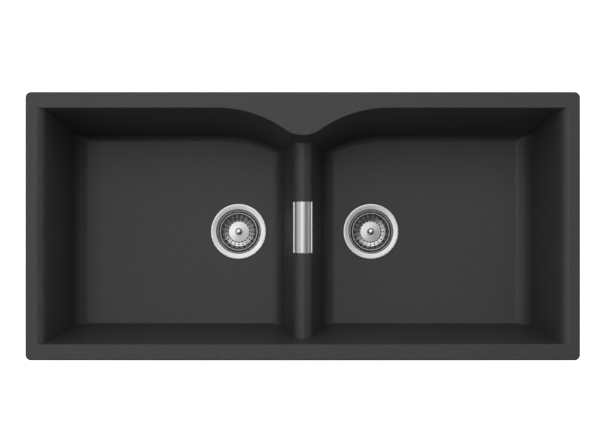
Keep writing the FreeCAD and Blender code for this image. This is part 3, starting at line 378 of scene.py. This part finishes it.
def steel(name, tint, brushing, lines, painted_tones=None):
    """Brushed steel; lines gives the brushing's own coordinate, in line widths"""
    low, high, relief = brushing
    finish = Finish(name)
    finish.constant(Metallic=1.0)
    brushed = finish.noise(lines(finish), 1.0, roughness=LINE_FINENESS)
    cloud = finish.noise(finish.place, STEEL_CLOUDS)
    # colour by place, where given, is the dish's painted light and shade
    light = painted_tones(finish, tint) if painted_tones else tint
    dark = finish.mix(1.0, light, (LINE_SHADE,) * 3, blend="MULTIPLY")
    shade = finish.mix(finish.between(brushed, 0.0, LINE_SHARE), light, dark)
    finish.link(shade, finish.shader.inputs["Base Color"])
    rough = finish.math("ADD", finish.between(brushed, low, high),
                        finish.between(cloud, -STEEL_DRIFT, STEEL_DRIFT))
    finish.link(rough, finish.shader.inputs["Roughness"])
    finish.bump(brushed, relief, LINE_HEIGHT)
    return finish.material


def turned_lines(side):
    """Brush lines that run in rings round a waste's axis"""
    def lines(finish):
        look = bpy.context.scene.sink_finishes
        axis = waste_axis(side)
        centred = finish.mapped(location=(-axis.x, -axis.y, 0.0))
        parts = finish.node("ShaderNodeSeparateXYZ")
        finish.link(centred, parts.inputs[0])
        squares = finish.math("ADD", finish.math("POWER", parts.outputs["X"], 2.0),
                              finish.math("POWER", parts.outputs["Y"], 2.0))
        radius = finish.math("SQRT", squares)
        joined = finish.node("ShaderNodeCombineXYZ")
        finish.link(finish.math("MULTIPLY", radius, 1.0 / look.brushing), joined.inputs["X"])
        finish.link(finish.math("MULTIPLY", parts.outputs["X"], LINES_ROUND), joined.inputs["Y"])
        finish.link(finish.math("MULTIPLY", parts.outputs["Y"], LINES_ROUND), joined.inputs["Z"])
        return joined.outputs[0]
    return lines


def long_lines(finish):
    """Brush lines that run along the divider"""
    look = bpy.context.scene.sink_finishes
    per_metre = 1.0 / look.brushing
    return finish.mapped(scale=(per_metre, LINES_ALONG, per_metre))


def coat_grains(finish):
    """Even grains of a coat or a polish, with no direction"""
    return finish.mapped(scale=(COAT_GRAINS,) * 3)


def moulded_finish(name, colour, roughness, grain, relief):
    """Moulded plastic, rubber or foam"""
    finish = Finish(name)
    cloud = finish.noise(finish.place, MOULDED_CLOUDS, detail=COARSE_DETAIL)
    fine = finish.noise(finish.place, grain, detail=FINE_DETAIL)
    darker = tuple(MOULDED_SHADE * c for c in colour)
    shade = finish.mix(finish.between(cloud, 0.0, MOULDED_DRIFT), colour, darker)
    finish.link(shade, finish.shader.inputs["Base Color"])
    rough = finish.between(fine, roughness - MOULDED_SPREAD, roughness + MOULDED_SPREAD)
    finish.link(rough, finish.shader.inputs["Roughness"])
    finish.bump(fine, relief, MOULDED_HEIGHT)
    return finish.material


# Materials made so far, by name
FINISHES = {}


def finish_for(node):
    """The material of a node, made once for all the nodes that share it"""
    slot = SLOT_OF[node]
    side = node.split("_")[0]
    key = slot
    if node.endswith("_knob"):
        key = "turned_knob"
    elif slot == "basket_steel" or node.endswith("_flange"):
        key = slot + "_" + side
    if key not in FINISHES:
        FINISHES[key] = new_finish(key, node, slot, side)
    return FINISHES[key]


def new_finish(key, node, slot, side):
    """Makes the material for a node's slot"""
    if slot == "composite":
        return composite_finish()
    if slot in MOULDED:
        return moulded_finish(key, *MOULDED[slot])
    if node.endswith("_knob"):
        return steel(key, KNOB_TINT, KNOB_POLISH, coat_grains)
    if node.endswith("_flange"):
        tint = tuple(bpy.context.scene.sink_finishes.steel)
        # the dish's colour by height paints shade into its cup and light into its throat
        return steel(key, tint, FLANGE_BRUSHING, turned_lines(side), dish_painted_light_and_shade)
    if slot == "basket_steel":
        return steel(key, BASKET_TINT, BASKET_BRUSHING, turned_lines(side))
    if slot == "brushed_steel":
        return steel(key, COVER_TINT, COVER_BRUSHING, long_lines)
    return steel(key, ZINC_TINT, ZINC_COAT, coat_grains)


# ---------------------------------------------------------------- shaping helpers

def place_piece(mesh_work, name, node):
    """Turns a bmesh into the piece that stands for a node"""
    mesh = bpy.data.meshes.new(name)
    mesh_work.to_mesh(mesh)
    mesh_work.free()
    piece = bpy.data.objects.new(name, mesh)
    bpy.context.scene.collection.objects.link(piece)
    mesh.shade_smooth()
    mesh.set_sharp_from_angle(angle=SHARP_ANGLE)
    mesh.materials.append(finish_for(node))
    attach(piece, BODY_OF[node])
    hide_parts(node)
    return piece


def even_faces(piece):
    """Shades flat faces flat beside their softened edges"""
    even = piece.modifiers.new("even faces", "WEIGHTED_NORMAL")
    even.keep_sharp = True


def merged_copy(node):
    """A copy of a node's mesh with its loose triangles joined"""
    work = bmesh.new()
    work.from_mesh(frame["nodes"][node].data)
    bmesh.ops.remove_doubles(work, verts=work.verts, dist=MERGE_DISTANCE)
    return work


def dress(*nodes):
    """Gives nodes whose shape is right their finish"""
    for node in nodes:
        materials = frame["nodes"][node].data.materials
        materials.clear()
        materials.append(finish_for(node))


def skin(node, bevel):
    """A merged copy of a node with smooth shading and softened edges"""
    work = merged_copy(node)
    bmesh.ops.dissolve_limit(work, angle_limit=FLAT_ANGLE, verts=work.verts, edges=work.edges)
    piece = place_piece(work, node + "_finished", node)
    soften = piece.modifiers.new("soft edges", "BEVEL")
    soften.width = bevel
    soften.segments = EDGE_SEGMENTS
    soften.limit_method = "ANGLE"
    soften.angle_limit = SHARP_ANGLE
    soften.use_clamp_overlap = True
    even_faces(piece)


def pressed_in(level):
    """How far the dish's throat is drawn towards the basket at a level below the dish's top"""
    for (high, start), (low, end) in zip(THROAT_PRESSING, THROAT_PRESSING[1:]):
        if low <= level <= high:
            return start + (end - start) * (high - level) / (high - low)
    return 0.0


def pressed_dish(side):
    """The dish with the rounded shoulder pressed into its throat, close round the basket"""
    node = side + "_flange"
    axis = waste_axis(side)
    work = merged_copy(node)
    for level, _depth in THROAT_PRESSING:
        bmesh.ops.bisect_plane(work, geom=work.verts[:] + work.edges[:] + work.faces[:], dist=CUT_DISTANCE,
                               plane_co=(0.0, 0.0, DISH_TOP + level), plane_no=(0.0, 0.0, 1.0))
    for vert in work.verts:
        away = vert.co - axis
        away.z = 0.0
        if away.length > THROAT_INSIDE:
            vert.co -= away.normalized() * pressed_in(vert.co.z - DISH_TOP)
    even_faces(place_piece(work, node + "_pressed", node))


# ---------------------------------------------------------------- operators

class SINK_OT_basin(Operator):
    """The moulded sink with its fine grained finish"""
    bl_idname = "sink.basin"
    bl_label = "Moulded sink"

    def execute(self, context):
        dress("sink_basin")
        return {"FINISHED"}


class SINK_OT_rim_fixings(Operator):
    """Tape, sockets, arms and screws under the rim"""
    bl_idname = "sink.rim_fixings"
    bl_label = "Rim fixings"

    def execute(self, context):
        dress("rim_seal_tape", "clip_sockets")
        skin("clip_arms", bevel=STRAP_EDGE)
        skin("clip_screws", bevel=TURNED_EDGE)
        return {"FINISHED"}


class SINK_OT_overflow_cover(Operator):
    """The half-round steel cover on the divider, with its brushed finish"""
    bl_idname = "sink.overflow_cover"
    bl_label = "Overflow cover"

    def execute(self, context):
        dress("overflow_cover")
        return {"FINISHED"}


class SINK_OT_overflow_parts(Operator):
    """Saddle, screws, gasket, funnel, hose and clips of the overflow"""
    bl_idname = "sink.overflow_parts"
    bl_label = "Overflow parts"

    def execute(self, context):
        edge = context.scene.sink_shapes.edge_bevel
        skin("overflow_saddle", bevel=PRESSED_EDGE)
        skin("overflow_screws", bevel=PRESSED_EDGE)
        dress("overflow_gasket", "overflow_hose")
        skin("overflow_body", bevel=edge)
        skin("hose_clips", bevel=PRESSED_EDGE)
        return {"FINISHED"}


class SINK_OT_wastes(Operator):
    """Flanges, seals, bodies and bolts of the two wastes"""
    bl_idname = "sink.wastes"
    bl_label = "Wastes"

    def execute(self, context):
        edge = context.scene.sink_shapes.edge_bevel
        for side in SIDES:
            pressed_dish(side)
            dress(side + "_flange_seal")
            skin(side + "_underside_gasket", bevel=STRAP_EDGE)
            skin(side + "_waste_body", bevel=edge)
            skin(side + "_fixing_bolt", bevel=PRESSED_EDGE)
        return {"FINISHED"}


class SINK_OT_baskets(Operator):
    """Baskets with their knobs, stems, seals and nuts"""
    bl_idname = "sink.baskets"
    bl_label = "Baskets"

    def execute(self, context):
        for side in SIDES:
            dress(side + "_basket", side + "_basket_knob", side + "_basket_spacer")
            skin(side + "_basket_stem", bevel=TURNED_EDGE)
            skin(side + "_basket_seal", bevel=RUBBER_EDGE)
            skin(side + "_basket_nut", bevel=TURNED_EDGE)
        return {"FINISHED"}


class SINK_OT_pipework(Operator):
    """Washers, nuts, pipes and tee below the bowls"""
    bl_idname = "sink.pipework"
    bl_label = "Pipework"

    def execute(self, context):
        edge = context.scene.sink_shapes.edge_bevel
        for side in SIDES:
            dress(side + "_outlet_washer", side + "_tee_seal")
            skin(side + "_outlet_nut", bevel=edge)
            skin(side + "_drain_pipe", bevel=edge)
            skin(side + "_tee_nut", bevel=edge)
        skin("drain_tee", bevel=edge)
        return {"FINISHED"}


class SINK_OT_stage(Operator):
    """Pale floor, light from the room and the camera"""
    bl_idname = "sink.stage"
    bl_label = "Stage"

    def execute(self, context):
        studio = context.scene.sink_studio
        self.floor(context, studio)
        self.room(context, studio)
        self.camera(context, studio)
        return {"FINISHED"}

    def floor(self, context, studio):
        work = bmesh.new()
        low = CAD_BOX[0].z - FLOOR_GAP
        bmesh.ops.create_grid(work, x_segments=1, y_segments=1, size=FLOOR_SIZE,
                              matrix=Matrix.Translation((0, 0, low)))
        mesh = bpy.data.meshes.new("floor")
        work.to_mesh(mesh)
        work.free()
        floor = bpy.data.objects.new("floor", mesh)
        context.scene.collection.objects.link(floor)
        finish = Finish("pale_floor")
        cloud = finish.noise(finish.place, FLOOR_CLOUDS)
        colour = tuple(studio.floor_colour)
        darker = tuple(FLOOR_SHADE * c for c in colour)
        shade = finish.mix(finish.between(cloud, 0.0, FLOOR_DRIFT), colour, darker)
        finish.link(shade, finish.shader.inputs["Base Color"])
        finish.constant(Roughness=FLOOR_ROUGHNESS, Emission_Strength=1.0)
        finish.shader.inputs["Emission Color"].default_value = (1.0, 1.0, 1.0, 1.0)
        mesh.materials.append(finish.material)
        # the floor's own glow stays out of the object's reflections
        floor.visible_glossy = False
        floor.visible_diffuse = False

    def room(self, context, studio):
        world = bpy.data.worlds.new("studio")
        world.use_nodes = True
        tree = world.node_tree
        where = tree.nodes.new("ShaderNodeTexCoord").outputs["Generated"]
        flat = self.vector(tree, "NORMALIZE", self.vector(tree, "MULTIPLY", where, (1.0, 1.0, 0.0)))
        upward = self.vector(tree, "DOT_PRODUCT", self.vector(tree, "NORMALIZE", where), (0.0, 0.0, 1.0))
        lean = self.number(tree, "DIVIDE", self.number(tree, "ARCCOSINE", upward), math.pi)
        total = None
        for side, direction in ROOM_SIDES.items():
            share = self.number(tree, "MAXIMUM", self.vector(tree, "DOT_PRODUCT", flat, direction), 0.0)
            share = self.number(tree, "MULTIPLY", share, share)
            light = self.number(tree, "MULTIPLY", share, self.bands(tree, side, lean))
            total = light if total is None else self.number(tree, "ADD", total, light)
        total = self.number(tree, "MULTIPLY", total, studio.room_light)
        # plain white behind the sink, the room's own light everywhere else
        seen = tree.nodes.new("ShaderNodeMix")
        seen.inputs[3].default_value = 1.0
        tree.links.new(tree.nodes.new("ShaderNodeLightPath").outputs["Is Camera Ray"], seen.inputs[0])
        tree.links.new(total, seen.inputs[2])
        background = tree.nodes["Background"]
        background.inputs["Color"].default_value = (1.0, 1.0, 1.0, 1.0)
        tree.links.new(seen.outputs[0], background.inputs["Strength"])
        context.scene.world = world

    def bands(self, tree, side, lean):
        ramp = tree.nodes.new("ShaderNodeValToRGB")
        tree.links.new(lean, ramp.inputs[0])
        stops = ramp.color_ramp.elements
        stops[0].position = 1.0
        stops[0].color = stops[1].color = (0.0, 0.0, 0.0, 1.0)
        for low, high, strengths in ROOM_BANDS:
            for angle in (low + ROOM_BLEND, high - ROOM_BLEND):
                stop = stops.new(angle / HALF_TURN)
                stop.color = (strengths[side],) * 3 + (1.0,)
        stops.new((ROOM_BANDS[-1][1] + ROOM_BLEND) / HALF_TURN).color = (0.0, 0.0, 0.0, 1.0)
        return ramp.outputs[0]

    def vector(self, tree, operation, first, second=None):
        return self.sum_node(tree, "ShaderNodeVectorMath", operation, (first, second))

    def number(self, tree, operation, first, second=None):
        return self.sum_node(tree, "ShaderNodeMath", operation, (first, second))

    def sum_node(self, tree, kind, operation, parts):
        node = tree.nodes.new(kind)
        node.operation = operation
        for socket, part in zip(node.inputs, parts):
            if isinstance(part, bpy.types.NodeSocket):
                tree.links.new(part, socket)
            elif part is not None:
                socket.default_value = part
        return node.outputs["Value" if operation == "DOT_PRODUCT" or kind == "ShaderNodeMath" else "Vector"]

    def camera(self, context, studio):
        lens = bpy.data.cameras.new("camera")
        lens.lens = studio.lens
        lens.sensor_width = SENSOR_WIDTH
        lens.shift_x, lens.shift_y = FRAME_SHIFT
        lens.clip_end = CAMERA_REACH
        camera = bpy.data.objects.new("camera", lens)
        camera.location = (0.0, -studio.camera_front, RIM_TOP + studio.camera_height)
        context.scene.collection.objects.link(camera)
        context.scene.camera = camera
        context.scene.view_settings.view_transform = "Standard"


STEPS = (
    SINK_OT_stage,
    SINK_OT_basin,
    SINK_OT_rim_fixings,
    SINK_OT_overflow_cover,
    SINK_OT_overflow_parts,
    SINK_OT_wastes,
    SINK_OT_baskets,
    SINK_OT_pipework,
)


class SINK_PT_panel(Panel):
    """Sizes, colours and steps of the sink"""
    bl_idname = "SINK_PT_panel"
    bl_label = "Kitchen sink"
    bl_space_type = "VIEW_3D"
    bl_region_type = "UI"
    bl_category = "Sink"

    def draw(self, context):
        layout = self.layout
        for group in (context.scene.sink_finishes, context.scene.sink_shapes, context.scene.sink_studio):
            box = layout.box()
            for key in group.__annotations__:
                box.prop(group, key)
        for step in STEPS:
            layout.operator(step.bl_idname)


GROUPS = (
    ("sink_finishes", SinkFinishes),
    ("sink_shapes", SinkShapes),
    ("sink_studio", SinkStudio),
)


def register():
    for key, group in GROUPS:
        bpy.utils.register_class(group)
        setattr(bpy.types.Scene, key, PointerProperty(type=group))
    for step in STEPS:
        bpy.utils.register_class(step)
    bpy.utils.register_class(SINK_PT_panel)


def unregister():
    bpy.utils.unregister_class(SINK_PT_panel)
    for step in reversed(STEPS):
        bpy.utils.unregister_class(step)
    for key, group in reversed(GROUPS):
        delattr(bpy.types.Scene, key)
        bpy.utils.unregister_class(group)


def main():
    register()
    for step in STEPS:
        area, name = step.bl_idname.split(".")
        getattr(getattr(bpy.ops, area), name)()


if __name__ == "__main__":
    main()
